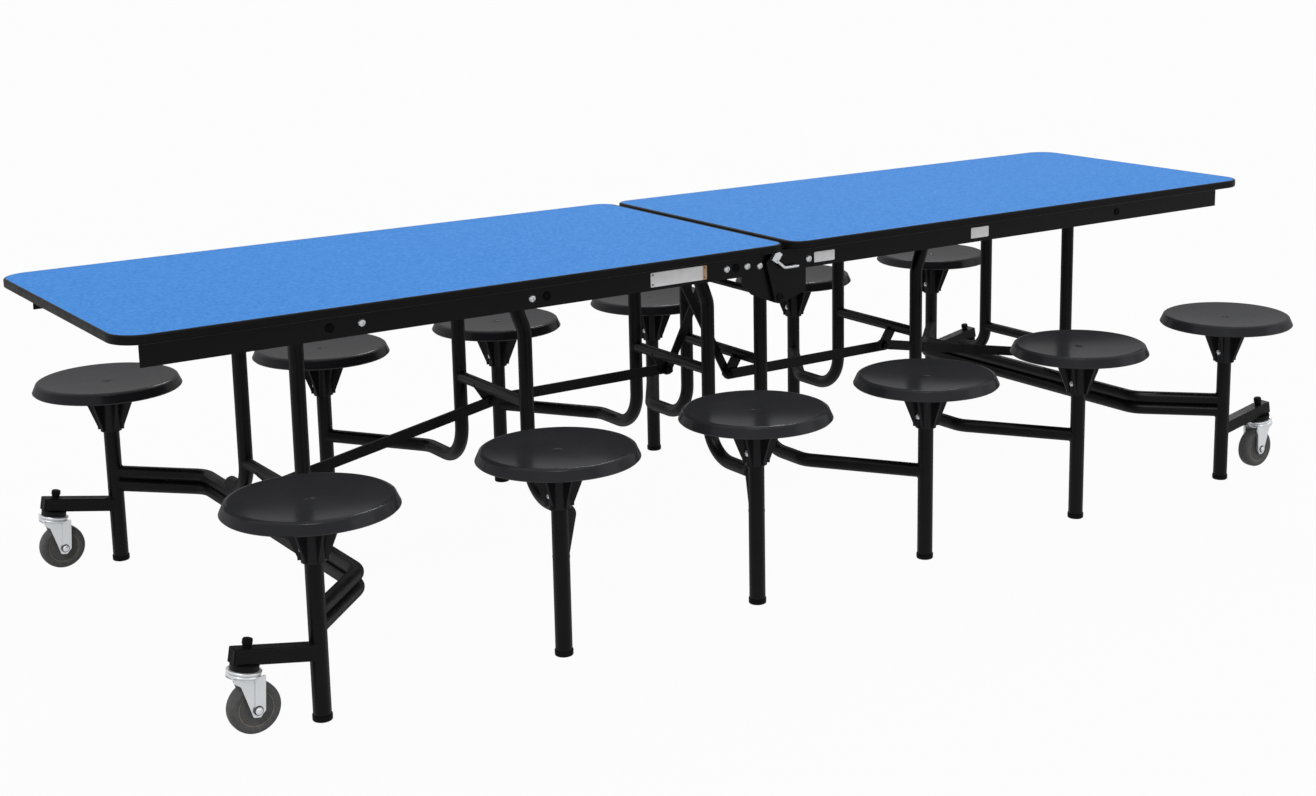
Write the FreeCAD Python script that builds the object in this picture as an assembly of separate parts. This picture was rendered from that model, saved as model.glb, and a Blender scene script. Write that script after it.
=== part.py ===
import FreeCAD
import Part
import math
import os

from FreeCAD import Placement, Rotation, Vector

# Overall sizes, in millimetres
table_length = 3048.0
table_width = 762.0
table_height = 737.0
top_thick = 19.0
edge_thick = 5.0
edge_round = 4.0
outer_corner = 62.0
inner_corner = 44.0
halves_gap = 16.0

# Side rails
rail_set_in = 51.0
rail_end = 57.0
rail_inner_end = 62.0
rail_wall = 3.0
rail_drop = 53.5
rail_flange = 32.0

# Leg frames: where the legs, their pivots and the stools stand along the table
end_leg = 1091.0
middle_leg = 562.0
centre_leg = 76.0
end_reach = 159.0
stool_reach = 163.0
leg_half_spread = 156.0
stool_out = 184.0
arm_splay = 240.0
pivot_drop = 50.0
pivot_set_back = 41.0
leg_bend_drop = 112.0

# Tubes
leg_radius = 15.875
pivot_radius = 17.45
post_radius = 17.45
brace_radius = 12.7
bar_radius = 15.0
trunnion_radius = 6.0
trunnion_length = 11.0
leg_top_bend = 60.0
leg_foot_bend = 85.0
end_foot_bend = 62.0
knee_bend = 58.0

# Heights above the floor
arm_height = 208.0
bar_height = 212.0
bar_pitch = 30.4
end_leg_foot = 232.0
end_leg_run = 96.0
brace_height = 414.0
end_brace_height = 302.0
post_top = 400.0

# Feet
foot_height = 12.0
foot_floor = 4.0
foot_wall = 1.2
foot_round = 3.0

# Seats
seat_radius = 165.0
seat_shoulder = 157.0
seat_crown = 148.0
seat_shoulder_drop = 3.5
seat_rim_height = 412.0
seat_top = 436.0
seat_dish = 6.0
seat_roll = 3.0
seat_wall = 7.0
hub_radius = 23.5
hub_height = 312.0
hub_fin = 5.0
hub_fin_top = 68.0
hub_fin_foot = 29.0
hub_fin_rise = 3.0
hub_fin_step = 10.0
hub_fins = 6

# Link bars and crossed stays
link_pivot_height = 369.0
link_offset = 30.0
link_plane = 65.0
link_half_height = 12.0
link_thick = 6.0
bracket_thick = 6.0
bracket_eye = 14.0
end_link_height = 270.0
stud_radius = 5.0
stud_proud = 1.5
slot_half_length = 32.0
stay_half_width = 10.0
stay_eye = 25.0

# Hinge between the two halves
hinge_drop = 130.0
hinge_radius = 8.0
hinge_plate = 6.0
hinge_eye = 14.0
hinge_lap = 171.0
right_plate_lap = 96.0
right_plate_tip = 38.0
plate_edge = 3.5
plate_corner = 22.0
right_plate_flank = 74.0
right_plate_drop = 101.5
left_plate_flank = 97.0
left_plate_foot = 70.0
left_plate_rise = 12.0
left_plate_step = 38.0

# Release handle
tab_thick = 10.0
tab_width = 18.0
tab_height = 25.0
tab_round = 2.0
tab_centre = 14.0
tab_drop = 35.0
handle_pin = 4.0
rod_radius = 3.5
rod_reach = 43.0
rod_drop = 27.0
rod_tail = 38.0
rod_bend = 9.0
rod_root = 9.0

# Casters
wheel_radius = 50.0
wheel_half_width = 16.0
wheel_crown = 6.0
wheel_core = 36.0
wheel_core_step = 2.0
wheel_hub = 13.0
wheel_hub_half = 18.0
axle_radius = 5.0
axle_head = 7.0
axle_head_high = 3.0
caster_trail = 27.0
caster_drop = 83.0
caster_reach = 132.5
floor_gap = 11.0
arm_side = 30.0
arm_breadth = 32.0
arm_wall = 2.5
arm_length = 169.0
collar_radius = 27.0
collar_high = 10.0
race_radius = 33.0
race_waist = 29.0
race_high = 14.0
race_step = 5.0
race_round = 2.0
fork_plate = 3.0
fork_top_half = 25.0
fork_foot_half = 14.0
fork_lean = 8.0
fork_lip = 7.0
fork_neck = 11.0
fork_neck_drop = 14.0
fork_gap = 1.0
fold_thick = 2.5
fold_width = 20.0
fold_rise = 8.0

# Shared clearances and the overrun of every cut
clearance = 0.5
turn_gap = 0.35
overrun = 5.0

# Angles, in degrees
caster_tilt = 10.5
tab_lean = 36.0
full_turn = 360.0
half_turn = 180.0

# Shares of a length
half_share = 0.5
dish_arc_share = 0.55

# Values that follow from the sizes above
half_length = table_length / 2
half_width = table_width / 2
under_top = table_height - top_thick
pivot_height = table_height - pivot_drop
hinge_height = table_height - hinge_drop
rail_face = half_width - rail_set_in
stool_half_spread = half_width + stool_out
half_gap = halves_gap / 2
pivot_half_span = rail_face - trunnion_length
link_near = bracket_thick / 2 + clearance
link_far = link_near + link_thick

ORIGIN = Vector(0, 0, 0)
ALONG_Y = Vector(0, 1, 0)
ALONG_Z = Vector(0, 0, 1)


# Path of straight runs joined by tangent arcs
def bent_path(points, radii):
    edges = []
    start = points[0]
    for i, radius in enumerate(radii):
        corner = points[i + 1]
        back = points[i].sub(corner).normalize()
        ahead = points[i + 2].sub(corner).normalize()
        half = back.getAngle(ahead) / 2
        reach = radius / math.tan(half)
        enter = corner.add(Vector(back).multiply(reach))
        leave = corner.add(Vector(ahead).multiply(reach))
        inward = Vector(back).add(ahead).normalize()
        middle = corner.add(inward.multiply(radius / math.sin(half) - radius))
        edges.append(Part.LineSegment(start, enter).toShape())
        edges.append(Part.Arc(enter, middle, leave).toShape())
        start = leave
    edges.append(Part.LineSegment(start, points[-1]).toShape())
    return Part.Wire(edges)


# Round tube swept along such a path
def bent_tube(points, radii, radius):
    path = bent_path(points, radii)
    ring = Part.Wire(Part.makeCircle(radius, points[0], points[1].sub(points[0])))
    return path.makePipeShell([ring], True, False)


# Flat plate in the XZ plane, from y to y + thick, from a closed line of (x, z) points
def plate(outline, y, thick):
    corners = [Vector(x, y, z) for x, z in outline]
    face = Part.Face(Part.makePolygon(corners + corners[:1]))
    return face.extrude(Vector(0, thick, 0))


# Edges of a flat plate that run through its thickness
def through_edges(shape, thick):
    picked = []
    for edge in shape.Edges:
        run = edge.Vertexes[-1].Point.sub(edge.Vertexes[0].Point)
        if abs(abs(run.y) - thick) < clearance and abs(run.x) + abs(run.z) < clearance:
            picked.append(edge)
    return picked


# Flat strap with round ends between two (x, z) points, from y to y + thick
def strap(a, b, half, y, thick):
    start = Vector(a[0], y, a[1])
    end = Vector(b[0], y, b[1])
    ahead = end.sub(start).normalize()
    side = ahead.cross(ALONG_Y).multiply(half)
    nose = Vector(ahead).multiply(half)
    edges = [
        Part.LineSegment(start.add(side), end.add(side)).toShape(),
        Part.Arc(end.add(side), end.add(nose), end.sub(side)).toShape(),
        Part.LineSegment(end.sub(side), start.sub(side)).toShape(),
        Part.Arc(start.sub(side), start.sub(nose), start.add(side)).toShape(),
    ]
    return Part.Face(Part.Wire(edges)).extrude(Vector(0, thick, 0))


# Round hole or pin along Y at (x, z)
def pin(x, z, radius, y, length):
    return Part.makeCylinder(radius, length, Vector(x, y, z), ALONG_Y)


def mirrored(shape):
    return shape.mirror(ORIGIN, ALONG_Y)


def turned(shape):
    copy = shape.copy()
    copy.rotate(ORIGIN, ALONG_Z, half_turn)
    return copy


def pair(shape):
    return [shape, mirrored(shape)]


# Outline of half a top, grown or shrunk by an inset, as an extruded slab
def slab(inset, low, high):
    x0 = -half_length + inset
    x1 = -half_gap - inset
    y = half_width - inset
    big = outer_corner - inset
    small = inner_corner - inset
    points = [Vector(x0, -y, low), Vector(x1, -y, low), Vector(x1, y, low), Vector(x0, y, low)]
    block = Part.Face(Part.makePolygon(points + points[:1])).extrude(Vector(0, 0, high - low))
    for x, radius in ((x0, big), (x1, small)):
        corners = [e for e in block.Edges if e.BoundBox.ZLength > clearance]
        corners = [e for e in corners if abs(e.BoundBox.Center.x - x) < clearance]
        block = block.makeFillet(radius, corners)
    return block


def table_top():
    return slab(edge_thick, under_top, table_height)


# Rounded edging band round the top
def table_edge():
    band = slab(0, under_top, table_height)
    rims = [edge for edge in band.Edges if edge.BoundBox.ZLength < clearance]
    band = band.makeFillet(edge_round, rims)
    return band.cut(slab(edge_thick, under_top - overrun, table_height + overrun))


# Angle rails under both long sides, drilled for the frame pivots
def rails():
    length = half_length - rail_end - rail_inner_end
    low = under_top - rail_drop
    x0 = -half_length + rail_end
    outline = [
        Vector(x0, -rail_face, low),
        Vector(x0, -rail_face, under_top),
        Vector(x0, -rail_face + rail_flange, under_top),
        Vector(x0, -rail_face + rail_flange, under_top - rail_wall),
        Vector(x0, -rail_face + rail_wall, under_top - rail_wall),
        Vector(x0, -rail_face + rail_wall, low),
    ]
    angle = Part.Face(Part.makePolygon(outline + outline[:1])).extrude(Vector(length, 0, 0))
    for x in (-end_leg, -middle_leg - pivot_set_back, -centre_leg - pivot_set_back):
        hole = pin(x, pivot_height, trunnion_radius + turn_gap, -rail_face - overrun, rail_flange)
        angle = angle.cut(hole)
    return pair(angle)


# Pivot tube across the top of a frame, with a trunnion in each rail
def pivot_tube(x):
    tube = pin(x, pivot_height, pivot_radius, -pivot_half_span, pivot_half_span * 2)
    axle = pin(x, pivot_height, trunnion_radius, -rail_face, rail_face * 2)
    return tube.fuse(axle).removeSplitter()


# Cross brace between the two legs, coped to them
def cross_brace(x, height):
    brace = pin(x, height, brace_radius, -leg_half_spread, leg_half_spread * 2)
    for y in (-leg_half_spread, leg_half_spread):
        low = Vector(x, y, height - leg_radius - overrun)
        brace = brace.cut(Part.makeCylinder(leg_radius, (leg_radius + overrun) * 2, low))
    return brace


# Plate welded under the cross brace, with studs for the links on the sides asked for
def link_bracket(x, height, eye_height, sides):
    low = link_plane - bracket_thick / 2
    eye = (x + link_offset, eye_height)
    shape = strap((x, height), eye, bracket_eye, low, bracket_thick)
    spare = pin(x, height, brace_radius + bracket_eye, low - overrun, bracket_thick + overrun * 2)
    above = Part.makeBox(
        (bracket_eye + overrun) * 2,
        bracket_thick + overrun * 2,
        bracket_eye + overrun,
        Vector(x - bracket_eye - overrun, low - overrun, height),
    )
    shape = shape.cut(above.common(spare))
    proud = link_far - bracket_thick / 2 + stud_proud
    for side in sides:
        start = link_plane + side * bracket_thick / 2
        stud = pin(eye[0], eye[1], stud_radius, min(start, start + side * proud), proud)
        shape = shape.fuse(stud)
    return shape.removeSplitter()


def post_at(x, y):
    return Part.makeCylinder(post_radius, post_top - foot_floor, Vector(x, y, foot_floor))


# Cup under a post
def foot_at(x, y):
    outer = post_radius + clearance + foot_wall
    cup = Part.makeCylinder(outer, foot_height, Vector(x, y, 0))
    ring = [edge for edge in cup.Edges if edge.BoundBox.ZMax < foot_floor]
    cup = cup.makeFillet(foot_round, [ring[0]])
    well = Part.makeCylinder(post_radius + clearance, foot_height, Vector(x, y, foot_floor))
    return cup.cut(well)


# Bent leg of a middle or centre frame: pivot, leg, sweep under the seat and arm to the post
def stool_leg(leg_x):
    pivot_x = -leg_x - pivot_set_back
    x = -leg_x
    y = leg_half_spread
    knee = stool_half_spread - arm_splay
    points = [
        Vector(pivot_x, y, pivot_height),
        Vector(x, y, pivot_height - leg_bend_drop),
        Vector(x, y, arm_height),
        Vector(x, knee, arm_height),
        Vector(x - stool_reach, stool_half_spread, arm_height),
    ]
    tube = bent_tube(points, [leg_top_bend, leg_foot_bend, knee_bend], leg_radius)
    tube = tube.cut(pin(pivot_x, pivot_height, pivot_radius, 0, pivot_half_span))
    return tube.cut(post_at(x - stool_reach, stool_half_spread))


def stool_frame(leg_x, sides):
    solids = pair(stool_leg(leg_x))
    solids.append(pivot_tube(-leg_x - pivot_set_back))
    brace = cross_brace(-leg_x, brace_height)
    solids.append(brace.fuse(link_bracket(-leg_x, brace_height, link_pivot_height, sides)))
    return solids


# Straight leg of an end frame, swept out on to the double bar
def end_leg_tube():
    x = -end_leg
    y = leg_half_spread
    points = [
        Vector(x, y, pivot_height),
        Vector(x, y, end_leg_foot),
        Vector(x, y + end_leg_run, end_leg_foot),
    ]
    tube = bent_tube(points, [end_foot_bend], leg_radius)
    tube = tube.cut(pin(x, pivot_height, pivot_radius, 0, pivot_half_span))
    bar = pin(x, bar_height, bar_radius, 0, pivot_half_span)
    return tube.cut(bar)


def end_frame():
    solids = pair(end_leg_tube())
    solids.append(pivot_tube(-end_leg))
    brace = cross_brace(-end_leg, end_brace_height)
    solids.append(brace.fuse(link_bracket(-end_leg, end_brace_height, end_link_height, ())))
    return solids


# Two bars, one above the other, that tie both end posts together
def end_bars():
    solids = []
    knee = stool_half_spread - end_reach
    for height in (bar_height, bar_height - bar_pitch):
        points = [
            Vector(-end_leg - end_reach, -stool_half_spread, height),
            Vector(-end_leg, -knee, height),
            Vector(-end_leg, knee, height),
            Vector(-end_leg - end_reach, stool_half_spread, height),
        ]
        bar = bent_tube(points, [knee_bend, knee_bend], bar_radius)
        for y in (-stool_half_spread, stool_half_spread):
            bar = bar.cut(post_at(-end_leg - end_reach, y))
        solids.append(bar)
    return solids


# Where the swivel axis of a caster meets the middle of its arm
def caster_root():
    lean = math.radians(caster_tilt)
    axle_x = -end_leg - end_reach - caster_reach
    axle_z = wheel_radius + floor_gap
    rise = caster_drop + arm_side / 2
    x = axle_x - caster_trail * math.cos(lean) + rise * math.sin(lean)
    z = axle_z + caster_trail * math.sin(lean) + rise * math.cos(lean)
    return Vector(x, 0, z)


# Place a piece drawn on the swivel axis, with its trail towards the table
def on_caster(shape, y):
    root = caster_root()
    copy = shape.copy()
    turn = Rotation(ALONG_Y, caster_tilt)
    copy.Placement = Placement(Vector(root.x, y, root.z), turn).multiply(copy.Placement)
    return copy


# Closed tube from a post to a caster, with the collar the caster turns under
def caster_arm():
    post_x = -end_leg - end_reach
    root = caster_root()
    reach = (post_x - root.x) / math.cos(math.radians(caster_tilt))
    half = arm_side / 2
    tail = arm_length - reach
    tube = Part.makeBox(
        tail + reach, arm_breadth, arm_side, Vector(-tail, -arm_breadth / 2, -half)
    )
    tube = tube.makeFillet(arm_wall, [e for e in tube.Edges if e.BoundBox.XLength > tail])
    collar = Part.makeCylinder(collar_radius, collar_high, Vector(0, 0, -half - collar_high))
    tube = tube.fuse(collar).removeSplitter()
    tube = on_caster(tube, stool_half_spread)
    return tube.cut(post_at(post_x, stool_half_spread))


# Swivel race and fork of a caster
def caster_fork():
    under_arm = -arm_side / 2
    top = under_arm - collar_high
    low = top - race_high
    step = race_step
    profile = [
        Vector(0, 0, top - clearance),
        Vector(race_radius, 0, top - clearance),
        Vector(race_radius, 0, top - step),
        Vector(race_waist, 0, top - step - fork_gap),
        Vector(race_radius, 0, top - step - step),
        Vector(race_waist, 0, low),
        Vector(0, 0, low),
    ]
    race = Part.Face(Part.makePolygon(profile + profile[:1])).revolve(ORIGIN, ALONG_Z, full_turn)
    rings = [edge for edge in race.Edges if edge.BoundBox.XMax > race_radius - clearance]
    rings = [edge for edge in rings if edge.BoundBox.ZLength < clearance]
    race = race.makeFillet(race_round, rings)
    axle = (caster_trail, under_arm - caster_drop)
    inside = wheel_hub_half + fork_gap
    outline = [
        (-fork_top_half, low),
        (axle[0] + fork_foot_half - fork_lean, low),
        (axle[0] + fork_foot_half, axle[1]),
        (axle[0] + fork_foot_half * half_share, axle[1] - fork_foot_half),
        (axle[0] - fork_foot_half * half_share, axle[1] - fork_foot_half),
        (axle[0] - fork_foot_half, axle[1]),
        (-fork_neck, low - fork_neck_drop),
        (-fork_top_half, low - fork_lip),
    ]
    cheek = plate(outline, inside, fork_plate)
    cheek = cheek.makeFillet(plate_edge, through_edges(cheek, fork_plate))
    edge = axle[0] + fork_foot_half
    folded = [
        (edge - fold_width - fork_lean, low + step * half_share),
        (edge - fork_lean, low + fold_rise),
        (edge, axle[1]),
        (edge - fold_width * half_share, axle[1] - fork_foot_half),
        (edge - fold_width, axle[1]),
    ]
    fold = plate(folded, inside + fork_plate, fold_thick)
    fold = fold.makeFillet(race_round, through_edges(fold, fold_thick))
    cheek = cheek.fuse(fold)
    bridge = Part.makeBox(
        fork_top_half * 2,
        (inside + fork_plate) * 2,
        fork_plate,
        Vector(-fork_top_half, -inside - fork_plate, low - fork_plate),
    )
    fork = race.multiFuse([bridge] + pair(cheek))
    reach = inside + fork_plate + fold_thick
    fork = fork.fuse(pin(axle[0], axle[1], axle_radius, -reach, reach * 2))
    for side in pair(pin(axle[0], axle[1], axle_head, reach, axle_head_high)):
        fork = fork.fuse(side)
    return fork.removeSplitter()


# Caster wheel with a crowned tread, sunk faces and a bored hub
def caster_wheel():
    half = wheel_half_width
    bore = axle_radius + turn_gap
    rim = wheel_radius - wheel_crown
    profile = [
        Vector(bore, -wheel_hub_half, 0),
        Vector(wheel_hub, -wheel_hub_half, 0),
        Vector(wheel_hub, -half + wheel_core_step, 0),
        Vector(wheel_core, -half + wheel_core_step, 0),
        Vector(wheel_core, -half, 0),
        Vector(rim, -half, 0),
    ]
    far = [Vector(p.x, -p.y, 0) for p in reversed(profile)]
    tread = Part.Arc(profile[-1], Vector(wheel_radius, 0, 0), far[0]).toShape()
    flanks = [Part.makePolygon(profile), tread, Part.makePolygon(far + profile[:1])]
    edges = []
    for piece in flanks:
        edges += piece.Edges
    wheel = Part.Face(Part.Wire(edges)).revolve(ORIGIN, ALONG_Y, full_turn)
    wheel.translate(Vector(caster_trail, 0, -arm_side / 2 - caster_drop))
    return wheel


# Dished round seat with a rolled rim and a ribbed socket for its post
def seat():
    crown = seat_top - seat_wall
    dish_low = seat_top - seat_dish
    rim = seat_rim_height
    inner = seat_radius - seat_wall
    mid = Vector(seat_crown * dish_arc_share, 0, dish_low + seat_dish * dish_arc_share * dish_arc_share)
    a = Vector(0, 0, dish_low)
    b = Vector(seat_crown, 0, seat_top)
    c = Vector(seat_shoulder, 0, seat_top - seat_shoulder_drop)
    bulge = Vector((seat_crown + seat_shoulder) / 2, 0, seat_top - seat_shoulder_drop / 4)
    d = Vector(seat_radius, 0, rim + seat_roll)
    e = Vector(seat_radius - seat_roll, 0, rim)
    lower = [
        e,
        Vector(inner, 0, rim),
        Vector(seat_shoulder - seat_wall, 0, crown - seat_dish),
        Vector(hub_radius, 0, crown - seat_dish),
        Vector(hub_radius, 0, hub_height),
        Vector(post_radius + turn_gap, 0, hub_height),
        Vector(post_radius + turn_gap, 0, post_top),
        Vector(0, 0, post_top),
        a,
    ]
    edges = [Part.Arc(a, mid, b).toShape(), Part.Arc(b, bulge, c).toShape()]
    edges += Part.makePolygon([c, d, e]).Edges
    edges += Part.makePolygon(lower).Edges
    shell = Part.Face(Part.Wire(edges)).revolve(ORIGIN, ALONG_Z, full_turn)
    ceiling = crown - seat_dish + seat_wall / 2
    outline = [
        (hub_radius - clearance, hub_height + hub_fin_rise),
        (hub_fin_foot, hub_height + hub_fin_rise),
        (hub_fin_foot + clearance, hub_height + hub_fin_step),
        (hub_fin_top, ceiling - seat_wall),
        (hub_fin_top, ceiling),
        (hub_radius - clearance, ceiling),
    ]
    fins = []
    for i in range(hub_fins):
        fin = plate(outline, -hub_fin / 2, hub_fin)
        fin.rotate(ORIGIN, ALONG_Z, full_turn * (i + half_share) / hub_fins)
        fins.append(fin)
    return shell.multiFuse(fins).removeSplitter()


# Bar between the brackets of a middle and a centre frame
def inner_link():
    y = link_plane + link_near
    a = (-middle_leg + link_offset, link_pivot_height)
    b = (-centre_leg + link_offset, link_pivot_height)
    bar = strap(a, b, link_half_height, y, link_thick)
    for x, z in (a, b):
        bar = bar.cut(pin(x, z, stud_radius + turn_gap, y - overrun, link_thick + overrun * 2))
    return bar


# Bar between the brackets of an end and a middle frame, slotted where the end frame's bolt slides
def outer_link():
    y = link_plane - link_far
    a = Vector(-end_leg + link_offset, 0, end_link_height)
    b = Vector(-middle_leg + link_offset, 0, link_pivot_height)
    ahead = b.sub(a).normalize()
    tail = a.sub(Vector(ahead).multiply(slot_half_length * 2))
    bar = strap((tail.x, tail.z), (b.x, b.z), link_half_height, y, link_thick)
    slot = strap((tail.x, tail.z), (a.x, a.z), stud_radius + clearance, y - overrun, link_thick + overrun * 2)
    hole = pin(b.x, b.z, stud_radius + turn_gap, y - overrun, link_thick + overrun * 2)
    return bar.cut(slot).cut(hole)


# Crossed stay, hung by an eye on one centre frame and reaching to the other one's bracket
def centre_stay():
    y = -link_plane + link_near
    a = (-centre_leg - pivot_set_back, pivot_height)
    b = (centre_leg - link_offset, link_pivot_height)
    bar = strap(a, b, stay_half_width, y, link_thick)
    bar = bar.fuse(pin(a[0], a[1], stay_eye, y, link_thick))
    eye = pin(a[0], a[1], pivot_radius + turn_gap, y - overrun, link_thick + overrun * 2)
    far = pin(b[0], b[1], stud_radius + turn_gap, y - overrun, link_thick + overrun * 2)
    return bar.cut(eye).cut(far).removeSplitter()


# Plate inside the left rail that carries the hinge bar
def left_hinge_plate():
    low = under_top - rail_drop + plate_edge
    high = under_top - rail_wall - plate_edge
    nose = hinge_eye * half_share
    outline = [
        (-hinge_lap, high),
        (-rail_inner_end + plate_corner, high),
        (hinge_eye, hinge_height + nose),
        (hinge_eye, hinge_height - nose),
        (nose, hinge_height - hinge_eye),
        (-nose, hinge_height - hinge_eye),
        (-left_plate_foot, hinge_height + left_plate_rise),
        (-left_plate_flank, hinge_height + left_plate_step),
        (-left_plate_flank, low),
        (-hinge_lap, low),
    ]
    y = rail_face - rail_wall - hinge_plate
    shape = plate(outline, y, hinge_plate)
    shape = shape.makeFillet(plate_edge, through_edges(shape, hinge_plate))
    shape = shape.cut(pin(0, hinge_height, hinge_radius, y - overrun, hinge_plate + overrun * 2))
    x = -centre_leg - pivot_set_back
    return shape.cut(pin(x, pivot_height, trunnion_radius + turn_gap, y - overrun, hinge_plate + overrun * 2))


# Broad plate outside the right rail that swings on the hinge bar
def right_hinge_plate():
    low = under_top - rail_drop + plate_edge
    high = under_top - plate_edge
    nose = hinge_eye * half_share
    outline = [
        (-right_plate_tip, low + plate_corner),
        (-right_plate_tip + plate_corner, high),
        (right_plate_lap, high),
        (right_plate_lap, low),
        (right_plate_flank, low),
        (right_plate_flank, high - right_plate_drop),
        (nose, hinge_height - hinge_eye),
        (-nose, hinge_height - hinge_eye),
        (-hinge_eye, hinge_height - nose),
    ]
    y = rail_face
    shape = plate(outline, y, hinge_plate)
    shape = shape.makeFillet(plate_edge, through_edges(shape, hinge_plate))
    radius = hinge_radius + turn_gap
    return shape.cut(pin(0, hinge_height, radius, y - overrun, hinge_plate + overrun * 2))


def hinge_bar():
    half = rail_face + hinge_plate + clearance
    return pin(0, hinge_height, hinge_radius, -half, half * 2)


# Zinc tab with a bent finger rod, flat against the front hinge plate
def release_handle():
    y = -rail_face - hinge_plate - tab_thick
    x = -tab_centre
    z = table_height - tab_drop
    tab = Part.makeBox(
        tab_width, tab_thick, tab_height, Vector(x - tab_width / 2, y, z - tab_height / 2)
    )
    tab = tab.makeFillet(tab_round, through_edges(tab, tab_thick))
    tab.rotate(Vector(x, 0, z), ALONG_Y, tab_lean)
    mid = y + tab_thick / 2
    points = [
        Vector(x, mid, z - rod_root),
        Vector(x + rod_reach / 2, mid, z - rod_drop),
        Vector(x + rod_reach / 2 + rod_tail, mid, z - rod_drop),
    ]
    finger = bent_tube(points, [rod_bend], rod_radius)
    finger.translate(Vector(0, -rod_radius, 0))
    pivot = pin(x, z, handle_pin, -rail_face - hinge_plate, hinge_plate - clearance)
    return tab.fuse(finger).fuse(pivot).removeSplitter()


def save(name, solids):
    shape = solids[0] if len(solids) == 1 else Part.makeCompound(solids)
    shape.exportStep("parts/" + name + ".step")


# Each frame with its posts, feet and seats, on the left and turned round to the right
def save_frames():
    stands = {
        "end": (-end_leg - end_reach, end_frame()),
        "middle": (-middle_leg - stool_reach, stool_frame(middle_leg, (-1, 1))),
        "centre": (-centre_leg - stool_reach, stool_frame(centre_leg, (1,))),
    }
    chair = seat()
    for place, (x, frame) in stands.items():
        posts = pair(post_at(x, stool_half_spread))
        feet = pair(foot_at(x, stool_half_spread))
        save("left_" + place + "_frame", frame)
        save("right_" + place + "_frame", [turned(s) for s in frame])
        save("left_" + place + "_posts", posts)
        save("right_" + place + "_posts", [turned(s) for s in posts])
        save("left_" + place + "_feet", feet)
        save("right_" + place + "_feet", [turned(s) for s in feet])
        for side, sign in (("left", 1), ("right", -1)):
            for row, y in (("front", -stool_half_spread), ("back", stool_half_spread)):
                copy = chair.copy()
                copy.translate(Vector(sign * x, y, 0))
                save(side + "_" + place + "_" + row + "_seat", [copy])


def save_casters():
    arms = pair(caster_arm())
    save("left_caster_arms", arms)
    save("right_caster_arms", [turned(s) for s in arms])
    for name, shape in (("fork", caster_fork()), ("wheel", caster_wheel())):
        for row, y in (("front", -stool_half_spread), ("back", stool_half_spread)):
            piece = on_caster(shape, y)
            other = on_caster(shape, -y)
            save("left_" + row + "_caster_" + name, [piece])
            save("right_" + row + "_caster_" + name, [turned(other)])


def save_tops():
    for name, solids in (("top", [table_top()]), ("edging", [table_edge()]), ("rails", rails())):
        save("left_" + name, solids)
        save("right_" + name, [turned(s) for s in solids])


def save_linkage():
    bars = end_bars()
    save("left_end_bars", bars)
    save("right_end_bars", [turned(s) for s in bars])
    for name, shape in (
        ("inner_link", inner_link()),
        ("outer_link", outer_link()),
        ("stay", centre_stay()),
    ):
        save("left_" + name, [shape])
        save("right_" + name, [turned(shape)])


def save_hinge():
    save("left_hinge_plates", pair(left_hinge_plate()))
    outer = right_hinge_plate()
    bore = pin(
        -tab_centre, table_height - tab_drop, handle_pin + turn_gap, -rail_face - hinge_plate, hinge_plate
    )
    save("right_hinge_plates", [outer, mirrored(outer).cut(bore)])
    save("hinge_bar", [hinge_bar()])
    save("release_handle", [release_handle()])


os.makedirs("parts", exist_ok=True)
save_tops()
save_frames()
save_linkage()
save_casters()
save_hinge()
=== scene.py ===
import math

import bmesh
import bpy
from bpy.props import FloatProperty, FloatVectorProperty, PointerProperty
from mathutils import Matrix, Vector


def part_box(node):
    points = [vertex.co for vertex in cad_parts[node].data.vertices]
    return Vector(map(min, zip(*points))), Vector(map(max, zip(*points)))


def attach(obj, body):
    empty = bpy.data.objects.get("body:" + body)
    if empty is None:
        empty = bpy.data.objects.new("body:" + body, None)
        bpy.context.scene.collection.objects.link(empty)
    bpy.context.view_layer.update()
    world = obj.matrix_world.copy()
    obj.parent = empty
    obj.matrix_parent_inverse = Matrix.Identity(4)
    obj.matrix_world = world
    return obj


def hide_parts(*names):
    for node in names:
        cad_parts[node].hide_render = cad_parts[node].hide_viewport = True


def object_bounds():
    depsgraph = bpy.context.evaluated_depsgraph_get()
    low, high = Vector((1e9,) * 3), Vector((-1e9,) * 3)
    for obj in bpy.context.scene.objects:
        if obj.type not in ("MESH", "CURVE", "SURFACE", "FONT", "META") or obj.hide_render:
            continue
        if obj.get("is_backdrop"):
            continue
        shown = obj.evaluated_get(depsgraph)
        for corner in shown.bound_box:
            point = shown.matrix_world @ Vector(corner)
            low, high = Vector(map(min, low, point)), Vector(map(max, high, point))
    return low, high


bl_info = {
    "name": "Folding stool table",
    "version": (1, 0, 0),
    "blender": (4, 5, 0),
    "location": "3D View > Sidebar > Stool table",
    "description": "Finishes, hardware and stage of a folding table with twelve stools",
    "category": "Object",
}

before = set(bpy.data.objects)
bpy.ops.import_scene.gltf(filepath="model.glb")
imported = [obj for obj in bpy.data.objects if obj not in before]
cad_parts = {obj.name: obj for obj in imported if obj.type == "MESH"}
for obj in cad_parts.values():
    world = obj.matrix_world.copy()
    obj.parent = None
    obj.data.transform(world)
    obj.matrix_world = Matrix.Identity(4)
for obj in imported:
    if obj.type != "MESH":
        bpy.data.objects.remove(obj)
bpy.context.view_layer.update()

SIDES = {"left": 0.0, "right": math.pi}
ROWS = {"front": -1, "back": 1}

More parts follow.
